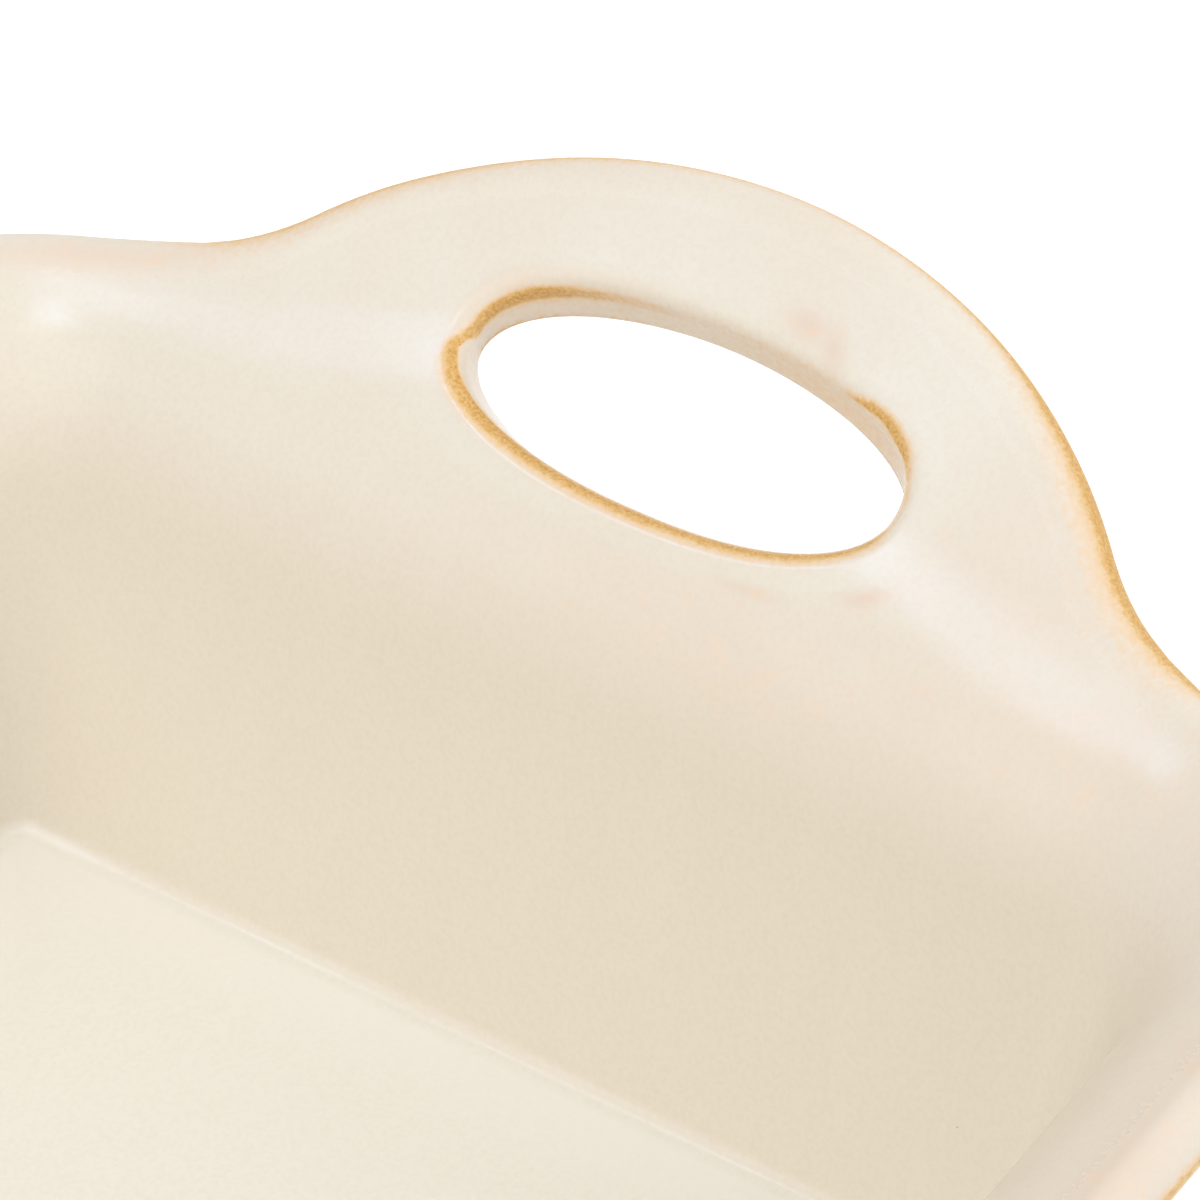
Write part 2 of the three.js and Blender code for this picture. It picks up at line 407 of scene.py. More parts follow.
def edge_steps(length: float, count: int) -> np.ndarray:
    """Distances from an edge that crowd towards it.

    Args:
        length: Distance of the last step.
        count: Number of steps.

    Returns:
        Rising distances that start at zero.
    """
    return length * (1 - np.cos(np.linspace(0, math.pi / 2, count + 1)))


def rounded_half(gap: np.ndarray, radius: float, thickness: float) -> np.ndarray:
    """Half thickness of a slab near an edge that is rounded on both faces.

    Args:
        gap: Distances in from the edge.
        radius: Radius of the rounding.
        thickness: Full thickness of the slab.

    Returns:
        One half thickness for each distance.
    """
    short = np.clip(1 - gap / radius, 0, 1)
    return thickness / 2 - radius + radius * np.sqrt(1 - short**2)


@dataclass(frozen=True)
class GlazeFinish:
    """Satin cream stoneware glaze, dipped and fired, which breaks to amber where it runs thin over an edge."""

    # A fired glaze is glass with a faint tooth. It gives the eye a soft, even cream with pale patches of gloss,
    # tan on steep walls that is partly glaze run thin and partly painted shade, a pale line along the cove that is
    # partly pooled glaze and partly a painted highlight, and amber with a peach fringe where the iron in it shows.
    cream: str = "#ECE7DA"
    warm: str = "#EAE1D2"
    pooled: str = "#ECE8DC"
    thin_and_shaded: str = "#E6DDCD"
    blush: str = "#E5CDB9"
    veil_and_highlight: str = "#F6F1E8"
    peach: str = "#F0D4B9"
    amber: str = "#ECC483"
    amber_deep: str = "#CC9846"
    speck: str = "#8A6E50"
    shade: str = "#F7F5F2"
    roughness: float = 0.2
    rough_vary: float = 0.1
    dry_roughness: float = 0.3
    specular: float = 0.45
    ior: float = 1.5
    cloud_mm: float = 38.0
    swell_mm: float = 34.2
    relief_mm: float = 0.6
    tooth: float = 0.02
    streak_mm: float = 7.0
    streak_stretch: float = 6.0
    # Leaning clay lower than these reaches goes tan, partly as glaze run thin and partly as painted shade.
    thin_and_shaded_up_to_mm: float = 68.0
    full_and_unshaded_from_mm: float = 96.0
    speck_mm: float = 9.0
    speck_radius: float = 0.018
    fleck_mm: float = 2.8
    # The tooth of the glaze and the grain of its rust are about 0.1 mm, too fine to show, and are drawn coarser.
    mottle_mm: float = 0.8
    break_mm: float = 0.8
    grain_mm: float = 0.45

    def material(self) -> bpy.types.Material:
        """Build the glaze as a node material.

        Returns:
            The material.
        """
        material, add = new_material("satin_cream_glaze")
        place = add("ShaderNodeTexCoord", out="Object")
        cloud = add(NOISE, {"Vector": place, "Scale": 1 / (self.cloud_mm * MM), "Detail": 3.0, "Roughness": 0.5})
        mottle = add(NOISE, {"Vector": place, "Scale": 1 / (self.mottle_mm * MM), "Detail": 4.0, "Roughness": 0.6})
        colour = self.coat(add, cloud, mottle)
        colour = self.edges(add, place, cloud, colour)
        colour = add(MIX, {0: self.specks(add, place), 6: colour, 7: linear(self.speck)}, **COLOURS)
        rough = add(MATH, cloud, self.rough_vary, self.roughness - self.rough_vary / 2, operation="MULTIPLY_ADD")
        lip = add(MATH, add(ATTRIBUTE, out="Fac", attribute_name="dry"), mottle, operation="ADD")
        dry = add(RANGE, lip, 0.6, 1.1, **SMOOTH)
        rough = add(MATH, dry, self.dry_roughness, rough, operation="MULTIPLY_ADD")
        swell = add(NOISE, {"Vector": place, "Scale": 1 / (self.swell_mm * MM), "Detail": 1.0, "Roughness": 0.4})
        height = add(MATH, mottle, self.tooth, swell, operation="MULTIPLY_ADD")
        bump = add("ShaderNodeBump", {"Height": height, "Strength": 0.25, "Distance": self.relief_mm * MM})
        surface = {"Base Color": colour, "Roughness": rough, "Normal": bump}
        surface |= {"Specular IOR Level": self.specular, "IOR": self.ior}
        add("ShaderNodeOutputMaterial", {"Surface": add("ShaderNodeBsdfPrincipled", surface)})
        return material

    def coat(self, add: Adder, cloud: bpy.types.NodeSocket, mottle: bpy.types.NodeSocket) -> bpy.types.NodeSocket:
        """Colour of the coat away from edges: pooled on level clay, tan on steep and low leaning walls as partly
        thin glaze and partly painted shade, finely mottled.

        Args:
            add: Adds a node to the material.
            cloud: Broad noise.
            mottle: Fine noise.

        Returns:
            The socket with the colour.
        """
        slope = add(ATTRIBUTE, out="Fac", attribute_name="slope")
        patch = add(RANGE, cloud, 0.38, 0.66, **SMOOTH)
        colour = add(MIX, {0: patch, 6: linear(self.cream), 7: linear(self.warm)}, **COLOURS)
        level = add(MATH, 1.0, add(RANGE, slope, 0.05, 0.5, **SMOOTH), operation="SUBTRACT")
        level = add(MATH, level, 0.9, operation="MULTIPLY")
        colour = add(MIX, {0: level, 6: colour, 7: linear(self.pooled)}, **COLOURS)
        # Painted shade: steep walls, and leaning clay low down, go tan, partly as glaze run thin and partly as
        # painted shade for the dimmer light there.
        steep = add(RANGE, slope, 0.6, 0.95, **SMOOTH)
        reach = add(ATTRIBUTE, out="Fac", attribute_name="reach")
        high = add(RANGE, reach, self.thin_and_shaded_up_to_mm, self.full_and_unshaded_from_mm, **SMOOTH)
        low = add(MATH, 1.0, high, operation="SUBTRACT")
        leaning = add(MATH, add(RANGE, slope, 0.3, 0.6, **SMOOTH), 0.75, operation="MULTIPLY")
        low = add(MATH, low, leaning, operation="MULTIPLY")
        steep = add(MATH, steep, low, operation="MAXIMUM")
        run = add(MATH, self.streaks(add), 0.4, 0.75, operation="MULTIPLY_ADD")
        share = add(MATH, steep, run, operation="MULTIPLY")
        colour = add(MIX, {0: share, 6: colour, 7: linear(self.thin_and_shaded)}, **COLOURS)
        fine = add(MATH, add(RANGE, mottle, 0.38, 0.7, **SMOOTH), 0.42, operation="MULTIPLY")
        return add(MIX, {0: fine, 6: colour, 7: linear(self.shade)}, blend_type="MULTIPLY", **COLOURS)

    def edges(
        self,
        add: Adder,
        place: bpy.types.NodeSocket,
        cloud: bpy.types.NodeSocket,
        colour: bpy.types.NodeSocket,
    ) -> bpy.types.NodeSocket:
        """Lay the blush, the pale veil with the painted cove highlight, and the amber break over the coat.

        Args:
            add: Adds a node to the material.
            place: Coordinates in metres.
            cloud: Broad noise.
            colour: The coat below.

        Returns:
            The socket with the colour.
        """
        patch = add(NOISE, {"Vector": place, "Scale": 1 / (self.fleck_mm * MM), "Detail": 3.0, "Roughness": 0.6})
        beside = add(ATTRIBUTE, out="Fac", attribute_name="blush")
        # The negative part is a pale veil round the hole and, along the cove, partly pooled glaze and partly a
        # painted highlight.
        pale = add(RANGE, beside, 0.0, -0.8, **SMOOTH)
        colour = add(MIX, {0: pale, 6: colour, 7: linear(self.veil_and_highlight)}, **COLOURS)
        rosy = add(MATH, beside, 0.0, operation="MAXIMUM")
        halo = add(MATH, rosy, add(RANGE, cloud, 0.1, 0.5, **SMOOTH), operation="MULTIPLY")
        colour = add(MIX, {0: halo, 6: colour, 7: linear(self.blush)}, **COLOURS)
        fleck = add(MATH, halo, add(RANGE, patch, 0.52, 0.72, **SMOOTH), operation="MULTIPLY")
        colour = add(MIX, {0: fleck, 6: colour, 7: linear(self.peach)}, **COLOURS)
        ragged = add(NOISE, {"Vector": place, "Scale": 1 / (self.break_mm * MM), "Detail": 5.0, "Roughness": 0.65})
        # The amber attribute also carries the tint on the finger hole's wall, which is painted warm bounce light
        # and painted shade.
        amber = add(ATTRIBUTE, out="Fac", attribute_name="amber")
        spread = add(MATH, amber, add(MATH, ragged, 0.7, -0.35, operation="MULTIPLY_ADD"), operation="ADD")
        gate = add(MATH, amber, 0.03, operation="GREATER_THAN")
        fringe = add(MATH, add(RANGE, spread, 0.05, 0.45, **SMOOTH), gate, operation="MULTIPLY")
        fringe = add(MATH, fringe, 0.5, operation="MULTIPLY")
        colour = add(MIX, {0: fringe, 6: colour, 7: linear(self.peach)}, **COLOURS)
        edge = add(MATH, add(RANGE, spread, 0.18, 0.95, **SMOOTH), gate, operation="MULTIPLY")
        colour = add(MIX, {0: edge, 6: colour, 7: linear(self.amber)}, **COLOURS)
        grain = add(NOISE, {"Vector": place, "Scale": 1 / (self.grain_mm * MM), "Detail": 3.0, "Roughness": 0.7})
        rust = add(RANGE, grain, 0.22, 0.72, **SMOOTH)
        core = add(MATH, add(RANGE, spread, 0.5, 1.05, **SMOOTH), rust, operation="MULTIPLY")
        return add(MIX, {0: core, 6: colour, 7: linear(self.amber_deep)}, **COLOURS)

    def streaks(self, add: Adder) -> bpy.types.NodeSocket:
        """Noise drawn out down the walls, where glaze has run.

        Args:
            add: Adds a node to the material.

        Returns:
            The socket with the noise.
        """
        length_mm = self.streak_mm * self.streak_stretch
        along = add(MATH, add(ATTRIBUTE, out="Fac", attribute_name="along"), self.streak_mm, operation="DIVIDE")
        up = add(MATH, add(ATTRIBUTE, out="Fac", attribute_name="reach"), length_mm, operation="DIVIDE")
        run = add(COMBINE, along, up)
        return add(NOISE, {"Vector": run, "Scale": 1.0, "Detail": 3.0, "Roughness": 0.55})

    def specks(self, add: Adder, place: bpy.types.NodeSocket) -> bpy.types.NodeSocket:
        """Sparse iron specks of a fraction of a millimetre.

        Args:
            add: Adds a node to the material.
            place: Coordinates in metres.

        Returns:
            The socket with the share of speck.
        """
        cells = add("ShaderNodeTexVoronoi", {"Vector": place, "Scale": 1 / (self.speck_mm * MM)}, out="Distance")
        chance = add("ShaderNodeSeparateColor", cells.node.outputs["Color"])
        size = add(MATH, chance, self.speck_radius, operation="MULTIPLY")
        near = add(MATH, cells, size, operation="LESS_THAN")
        return add(MATH, near, 0.5, operation="MULTIPLY")


@dataclass(frozen=True)
class BareClayFinish:
    """Unglazed buff stoneware with grog, ground where it stands."""

    # Ground clay has no glass on it. It gives the eye a dry, matt buff, toasted in patches, with dark grit.
    buff: str = "#BE9A70"
    toasted: str = "#A27B50"
    grog: str = "#7A5B3C"
    roughness: float = 0.92
    grain_mm: float = 0.9
    cloud_mm: float = 18.0
    relief_mm: float = 0.3

    def material(self) -> bpy.types.Material:
        """Build the clay as a node material.

        Returns:
            The material.
        """
        material, add = new_material("bare_stoneware")
        place = add("ShaderNodeTexCoord", out="Object")
        cloud = add(NOISE, {"Vector": place, "Scale": 1 / (self.cloud_mm * MM), "Detail": 3.0, "Roughness": 0.6})
        grain = add(NOISE, {"Vector": place, "Scale": 1 / (self.grain_mm * MM), "Detail": 5.0, "Roughness": 0.7})
        toast = add(RANGE, cloud, 0.35, 0.7, **SMOOTH)
        colour = add(MIX, {0: toast, 6: linear(self.buff), 7: linear(self.toasted)}, **COLOURS)
        dark = add(MATH, add(RANGE, grain, 0.62, 0.72, **SMOOTH), 0.5, operation="MULTIPLY")
        colour = add(MIX, {0: dark, 6: colour, 7: linear(self.grog)}, **COLOURS)
        bump = add("ShaderNodeBump", {"Height": grain, "Strength": 0.6, "Distance": self.relief_mm * MM})
        surface = {"Base Color": colour, "Roughness": self.roughness, "Normal": bump}
        add("ShaderNodeOutputMaterial", {"Surface": add("ShaderNodeBsdfPrincipled", surface)})
        return material


def plain_mesh(source: bpy.types.Object, name: str) -> bpy.types.Object:
    """Turn an object with a node modifier into a plain mesh object at the origin.

    Args:
        source: The object that carries the modifier. It is removed.
        name: Name of the new object.

    Returns:
        The new object, welded and with its faces outward.
    """
    graph = bpy.context.evaluated_depsgraph_get()
    mesh = bpy.data.meshes.new_from_object(source.evaluated_get(graph))
    mesh.name = name
    bpy.data.objects.remove(source)
    shape = bmesh.new()
    shape.from_mesh(mesh)
    bmesh.ops.remove_doubles(shape, verts=shape.verts, dist=WELD)
    bmesh.ops.recalc_face_normals(shape, faces=shape.faces)
    for face in shape.faces:
        face.smooth = True
    shape.to_mesh(mesh)
    shape.free()
    piece = bpy.data.objects.new(name, mesh)
    bpy.context.scene.collection.objects.link(piece)
    return piece


def node_piece(
    name: str, mesh: bpy.types.Mesh, tree: bpy.types.NodeTree, sizes: dict[str, Any]
) -> bpy.types.Object:
    """Run a node tree on a mesh and keep the result as a plain mesh.

    Args:
        name: Name of the piece.
        mesh: The mesh that the tree starts from.
        tree: The geometry node tree.
        sizes: Value for each named input of the tree.

    Returns:
        The finished object.
    """
    source = bpy.data.objects.new(name + "_source", mesh)
    bpy.context.scene.collection.objects.link(source)
    modifier = source.modifiers.new("shape", "NODES")
    modifier.node_group = tree
    for item in tree.interface.items_tree:
        if item.in_out == "INPUT" and item.name in sizes:
            modifier[item.identifier] = sizes[item.name]
    return plain_mesh(source, name)


def new_tree(name: str, numbers: list[str]) -> tuple[bpy.types.NodeTree, Adder, bpy.types.bpy_prop_collection]:
    """Start a geometry node tree with a geometry input, named numbers and a material.

    Args:
        name: Name of the tree.
        numbers: Names of its number inputs.

    Returns:
        The tree, add_node tied to it, and what is put into the tree, by name.
    """
    tree = bpy.data.node_groups.new(name, "GeometryNodeTree")
    tree.interface.new_socket("Geometry", in_out="INPUT", socket_type="NodeSocketGeometry")
    for number in numbers:
        tree.interface.new_socket(number, in_out="INPUT", socket_type="NodeSocketFloat")
    tree.interface.new_socket("Finish", in_out="INPUT", socket_type="NodeSocketMaterial")
    tree.interface.new_socket("Geometry", in_out="OUTPUT", socket_type="NodeSocketGeometry")
    add = partial(add_node, tree)
    return tree, add, add("NodeGroupInput").node.outputs


def end_tree(add: Adder, given: bpy.types.bpy_prop_collection, shape: bpy.types.NodeSocket) -> None:
    """Finish a tree with its instances realized and its material set.

    Args:
        add: Adds a node to the tree.
        given: What is put into the tree.
        shape: The geometry that it ends with.
    """
    whole = add("GeometryNodeRealizeInstances", shape)
    add("NodeGroupOutput", add("GeometryNodeSetMaterial", {"Geometry": whole, "Material": given["Finish"]}))


@dataclass(frozen=True)
class BlushMark:
    """Soft peach smudge on the glaze, in the plane of a flare."""

    along: float
    up: float
    length: float
    width: float
    turn_deg: float
    strength: float

    def share(self, along: np.ndarray, up: np.ndarray) -> np.ndarray:
        """How much of the smudge shows.

        Args:
            along: Distances along the wall.
            up: Distances up from the plain rim.

        Returns:
            One share for each point.
        """
        turn = math.radians(self.turn_deg)
        x, y = along - self.along, up - self.up
        run = (x * math.cos(turn) + y * math.sin(turn)) / self.length
        across = (y * math.cos(turn) - x * math.sin(turn)) / self.width
        return self.strength * np.exp(-(run**2) - across**2)


@dataclass(frozen=True)
class HoleBreak:
    """How the finger hole's edge breaks to amber, by degrees from the right hand of someone inside the dish."""

    share: Stops = (
        (0, 0.5), (7, 0.6), (15, 0.5), (24, 0.65), (33, 0.95), (40, 1.0), (50, 0.95), (56, 0.5), (62, 0.0),
        (80, 0.0), (90, 0.1), (97, 0.3), (108, 0.5), (117, 0.6), (124, 0.7), (133, 0.85), (142, 1.0), (165, 1.0),
        (177, 0.95), (182, 0.85), (185, 0.75), (188, 0.9), (197, 1.0), (265, 1.0), (291, 0.95), (311, 0.95),
        (330, 0.9), (340, 0.85), (350, 0.5), (360, 0.5),
    )
    slide: Stops = (
        (0, 0.1), (45, 0.3), (62, 0.0), (90, -0.2), (130, -0.1), (178, -0.1), (192, 0.25), (205, 0.2), (240, 0.0),
        (360, 0.1),
    )
    inner: Stops = ((0, 0.2), (30, 0.5), (60, 0.5), (95, 0.9), (176, 0.9), (194, 0.2), (205, 0.0), (360, 0.2))
    # The tint on the hole's own wall is painted warm bounce light and painted shade, strongest towards the upper
    # right.
    tint: Stops = ((0, 0.32), (35, 0.42), (70, 0.42), (110, 0.22), (330, 0.16), (360, 0.32))

    @staticmethod
    def at(degrees: np.ndarray, stops: Stops) -> np.ndarray:
        """Value of one of the lists at each angle."""
        return np.interp(degrees, *zip(*stops))


@dataclass(frozen=True)
class WallPatch:
    """Points on one face of a wall, with their distances from its edges."""

    kind: WallKind
    face: Face
    along: np.ndarray
    reach: np.ndarray
    offset: np.ndarray
    rim_gap: np.ndarray
    hole_gap: np.ndarray

    @property
    def handled(self) -> bool:
        """Whether the wall has a handle."""
        return self.kind is WallKind.HANDLED

    @property
    def turned(self) -> np.ndarray:
        """How far the lip has gone over from a handle's to a plain wall's."""
        return smooth((np.abs(self.along) - 68.0) / 26.0) if self.handled else np.ones_like(self.along)


@dataclass
class GlazedShell:
    """Floor, walls and looped handles under one coat of glaze."""

    section: WallSection
    outline: HandleOutline
    hole: FingerHole
    finish: GlazeFinish
    marks: tuple[BlushMark, ...] = ()
    hole_break: HoleBreak = HoleBreak()
    plate_half: float = 66.0
    plate_drop: float = 12.0
    bottom_steps: int = 56
    crown_steps: int = 96
    corner_steps: int = 14
    side_steps: int = 8
    lip_steps: int = 10
    cove_steps: int = 6
    wall_steps: int = 8
    bend_steps: int = 11
    edge_rings: int = 14
    middle_rings: int = 13
    border_rings: int = 12
    hole_wall_steps: int = 5
    rim_ease: float = 0.25
    dry_reach: float = 7.5
    dry_fade: float = 5.0
    shoulder: float = 0.8
    roll_height: float = 0.88
    roll_width: float = 13.0
    roll_start: float = 35.0
    roll_ease: float = 27.0
    arch_half: float = 85.0
    arch_rise: float = 14.9
    arch_lean: float = 1.5
    hand_wobble: float = 0.3
    wobble_size: float = 55.0

    def build(self) -> bpy.types.Object:
        """Make the shell, dress it and tie it to the frame.

        Returns:
            The shell's object.
        """
        net = Net()
        self.lay_wall(net, WallKind.HANDLED)
        self.lay_wall(net, WallKind.PLAIN)
        self.lay_floor(net, Face.INSIDE)
        self.lay_floor(net, Face.OUTSIDE)
        s = self.section
        sizes = {
            "Floor Half Width": s.start_half * MM,
            "Floor Height": s.floor_top * MM,
            "Cove Radius": s.cove_radius * MM,
            "Lean": s.lean,
            "Wall Length": s.straight * MM,
            "Bend Radius": s.bend_radius * MM,
            "Flare": s.flare,
            "Corner Centre": s.corner_centre * MM,
            "Rim Radius": s.rim_radius * MM,
            "Hand Wobble": self.hand_wobble * MM,
            "Wobble Size": self.wobble_size * MM,
            "Finish": self.finish.material(),
        }
        flat, tree = net.mesh("glazed_shell_flat"), self.sweep_tree(list(sizes)[:-1])
        shell = node_piece("glazed_shell", flat, tree, sizes)
        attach(shell, "root")
        walls = ("wall_right", "wall_back", "wall_left", "wall_front")
        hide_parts("floor_slab", *walls, "handle_right", "handle_left")
        return shell

    def outline_reach(self, along: np.ndarray) -> np.ndarray:
        """Reach of the top edge of a handled wall."""
        swell = self.shoulder * (bell(along, 76.0, 12.0) + bell(along, 56.0, 12.0))
        return self.section.rim - self.rim_ease + self.outline.above_rim(along) + swell

    def edge_gaps(
        self, along: np.ndarray, reach: np.ndarray, kind: WallKind, face: Face
    ) -> tuple[np.ndarray, np.ndarray]:
        """Distances from the rim and from the finger hole.

        Args:
            along: Distances along the wall.
            reach: Distances up it.
            kind: Handled or plain wall.
            face: Inside or outside face.

        Returns:
            Distance from the rim, and from the hole.
        """
        if kind is WallKind.PLAIN:
            return self.section.rim - self.rim_ease - reach, np.full_like(reach, FAR)
        step = 0.05
        slope = (self.outline_reach(along + step) - self.outline_reach(along - step)) / (2 * step)
        rim = np.maximum(self.outline_reach(along) - reach, 0) / np.sqrt(1 + slope**2)
        return rim, self.hole.oval(face).gap(along, reach - self.section.rim)

    def add_face(
        self,
        net: Net,
        along: np.ndarray,
        reach: np.ndarray,
        kind: WallKind,
        face: Face,
        closed: bool = False,
    ) -> None:
        """Add one face of a patch of wall to the net.

        Args:
            net: The net that gets the patch.
            along: Grid of distances along the wall.
            reach: Grid of distances up it.
            kind: Handled or plain wall.
            face: Inside or outside face.
            closed: Whether the grid's last column joins its first.
        """
        rim_gap, hole_gap = self.edge_gaps(along, reach, kind, face)
        thick = self.section.thickness
        lip = rounded_half(rim_gap, thick / 2, thick)
        offset = face.value * np.minimum(lip, rounded_half(hole_gap, self.hole.radius(face), thick))
        values = self.glaze_values(WallPatch(kind, face, along, reach, offset, rim_gap, hole_gap))
        shift = offset - thick / 2 + self.roll(along, reach, kind)
        net.add_grid(np.stack([along, reach, shift], axis=-1), closed, **values)

    def roll(self, along: np.ndarray, reach: np.ndarray, kind: WallKind) -> np.ndarray:
        """Height of the soft roll where the bend eases into the flare, which arches over the handle's feet.

        Args:
            along: Distances along the wall.
            reach: Distances up it.
            kind: Handled or plain wall.

        Returns:
            The height towards the inside.
        """
        handled = kind is WallKind.HANDLED
        arch = 0.5 + 0.5 * np.cos(np.pi * np.clip(np.abs(along) / self.arch_half, 0, 1))
        arch *= (self.arch_rise + self.arch_lean * np.tanh(along / 20.0)) * handled
        dip = 1.2 * bell(along, -65.0, 18.0) * handled
        line = self.section.bend_end + 0.5 + arch - dip
        below = smooth(0.5 - (reach - line) / self.roll_width)
        return self.roll_height * below * smooth((reach - self.roll_start) / self.roll_ease)

    def glaze_values(self, patch: WallPatch) -> dict[str, Any]:
        """Where the glaze runs thin over an edge, blushes beside one and dries along the lip.

        Args:
            patch: The points.

        Returns:
            The attributes of the patch.
        """
        degrees = self.hole.oval(patch.face).degrees(patch.along, patch.reach - self.section.rim)
        side = patch.offset / (self.section.thickness / 2)
        amber = np.maximum(self.amber_at_rim(patch, side), self.amber_at_hole(patch, degrees))
        if patch.face is Face.OUTSIDE:
            amber = np.maximum(amber, self.amber_at_base(patch))
        return {
            "along": patch.along + NET_SPACING * patch.kind.value,
            "reach": patch.reach,
            "amber": amber,
            "blush": self.blush(patch, degrees) * (0.35 + 0.65 * np.clip(side, 0, 1)),
            "dry": np.clip((self.dry_reach - patch.rim_gap) / self.dry_fade, 0, 1),
            "turn": patch.kind.value,
            "swept": 1.0,
        }

    def amber_at_rim(self, patch: WallPatch, side: np.ndarray) -> np.ndarray:
        """How far the lip breaks to amber: a line across it that wanders and widens.

        Args:
            patch: The points.
            side: Distances from the middle of the slab, as a share of half its thickness.

        Returns:
            One share for each point.
        """
        strength = 0.72 + 0.25 * np.sin(patch.along / 17.0) * np.sin(patch.along / 41.0 + 0.8)
        spread, line = np.full_like(patch.along, 0.3), 0.18
        if patch.handled:
            steep_side = rising(-patch.along, 38.0, 5.5)
            strength = 0.84 + 0.34 * steep_side - 0.5 * rising(patch.along, 68.0, 3.0)
            spread = 0.4 + 0.28 * steep_side
            line = line + 0.36 * np.clip(patch.along / 50.0, 0, 1)
        turned = patch.turned
        across = (side - line + 0.75 * turned) / (spread * (1 - turned) + 0.3 * turned)
        return np.exp(-(across**2)) * (patch.rim_gap < self.section.thickness / 2) * strength

    def amber_at_hole(self, patch: WallPatch, degrees: np.ndarray) -> np.ndarray:
        """How far the finger hole's edge breaks to amber, and the tint on its wall that is painted warm bounce
        light and painted shade.

        Args:
            patch: The points.
            degrees: Angles round the hole.

        Returns:
            One share for each point.
        """
        edge, radius = self.hole_break, self.hole.radius(patch.face)
        share, inner = edge.at(degrees, edge.share), edge.at(degrees, edge.inner)
        roll = patch.hole_gap / radius - edge.at(degrees, edge.slide)
        start = np.clip(inner + roll / 0.1, 0, 1)
        core = 0.13 + 0.23 * share * (1 - 0.7 * inner)
        fade = 0.22 + 0.5 * share * (1 - inner)
        stop = np.clip((core + fade - roll) / fade, 0, 1)
        depth = np.where(patch.hole_gap > 0, 0, self.section.thickness / 2 - radius - patch.offset)
        amber = start * stop * share * np.clip(1 - depth, 0, 1)
        amber += 0.4 * share * (1 - inner) * bell(roll, 0.08, 0.07)
        # Painted bounce light and shade: the hole's wall takes a peach-amber tint, strongest towards the upper
        # right as seen from inside.
        wall = np.clip(1 - patch.hole_gap / (0.8 * radius), 0, 1)
        return np.maximum(amber, edge.at(degrees, edge.tint) * wall)

    def amber_at_base(self, patch: WallPatch) -> np.ndarray:
        """How far the outside breaks to amber at its base and up the folds of its corners.

        Args:
            patch: The points.

        Returns:
            One share for each point.
        """
        fold = bell(np.abs(patch.along), self.section.mitre, 7.0)
        fold *= 0.3 * np.exp(-np.maximum(patch.reach - 4.0, 0) / 22.0)
        return np.maximum(0.62 * bell(patch.reach, 2.6, 1.6), fold)

    def blush(self, patch: WallPatch, degrees: np.ndarray) -> np.ndarray:
        """How far the glaze blushes by an edge, less its pale pooling round the hole and, in the cove, pale
        pooling with a painted highlight.

        Args:
            patch: The points.
            degrees: Angles round the hole.

        Returns:
            One share for each point, negative where the glaze is pale, the painted cove highlight included.
        """
        share = self.hole_break.at(degrees, self.hole_break.share)
        from_middle = np.abs(patch.along)
        blush = 0.18 * np.exp(-patch.rim_gap / 3.2)
        if patch.handled:
            left = rising(patch.along, 66.0, 3.0)
            blush = np.maximum(blush, 0.62 * left * bell(patch.rim_gap, 3.4, 2.3))
        plain_end = patch.turned * (patch.along < 0 if patch.handled else 1)
        blush = np.maximum(blush, 0.8 * plain_end * np.exp(-patch.rim_gap / 9.0))
        blush = np.maximum(blush, 0.35 * share * np.exp(-np.maximum(patch.hole_gap - 2.0, 0) / 1.2))
        inside = patch.face is Face.INSIDE
        for mark in self.marks if patch.handled and inside else ():
            blush = np.maximum(blush, mark.share(patch.along, patch.reach - self.section.rim))
        halo = 0.14 * share * bell(patch.hole_gap, 4.6, 1.3)
        # Painted highlight: a pale line along the cove, stronger towards the corners, partly pooled glaze and
        # partly a painted highlight.
        cove = 0.16 + 0.5 * np.clip((from_middle - 45.0) / 20.0, 0, 1) ** 2
        cove *= 1 - 0.5 * np.clip((from_middle - 69.0) / 30.0, 0, 1) if patch.handled else 0.5
        return blush - halo - cove * bell(patch.reach, 1.2, 0.9) * inside

    def columns(self) -> tuple[np.ndarray, np.ndarray, np.ndarray]:
        """Distances along a wall at which its net has points.

        Returns:
            Those at one end, those across the middle, and all of them.
        """
        s = self.section
        corner = np.linspace(s.mitre, s.corner_centre, self.corner_steps + 1)
        end = np.concatenate([corner, [self.plate_half]])
        middle = np.linspace(self.plate_half, -self.plate_half, self.bottom_steps + 1)
        return end, middle, np.concatenate([end, middle[1:-1], -end[::-1]])

    def lay_wall(self, net: Net, kind: WallKind) -> None:
        """Lay one wall flat, from the cove up to its rim.

        Args:
            net: The net that gets the wall.
            kind: Handled or plain wall.
        """
        s = self.section
        split = s.bend_end - self.plate_drop
        end, middle, columns = self.columns()
        cove = np.linspace(0, s.cove_radius * s.lean, self.cove_steps + 1)
        straight = np.linspace(cove[-1], s.wall_end, self.wall_steps + 1)
        bend = np.linspace(s.wall_end, split, self.bend_steps + 1)
        rows = np.concatenate([cove, straight[1:], bend[1:]])
        for face in Face:
            self.add_face(net, *np.meshgrid(columns, rows), kind, face)
        if kind is WallKind.PLAIN:
            self.lay_top(net, columns, split, kind)
            return
        self.lay_top(net, end, split, kind)
        self.lay_top(net, -end[::-1], split, kind)
        self.lay_plate(net, middle, split)

    def top_rows(self, top: np.ndarray, split: float) -> np.ndarray:
        """Rows from the split line to the rim, crowded at the lip.

        Args:
            top: Reach of the rim for each column.
            split: Reach of the lowest row.

        Returns:
            A grid of rows by columns.
        """
        lip = self.section.thickness / 2
        shares = np.linspace(0, 1, self.side_steps + 1)[:, None]
        low = split + shares * (top - lip - split)[None, :]
        high = top[None, :] - edge_steps(lip, self.lip_steps)[::-1][1:, None]
        return np.concatenate([low, high])

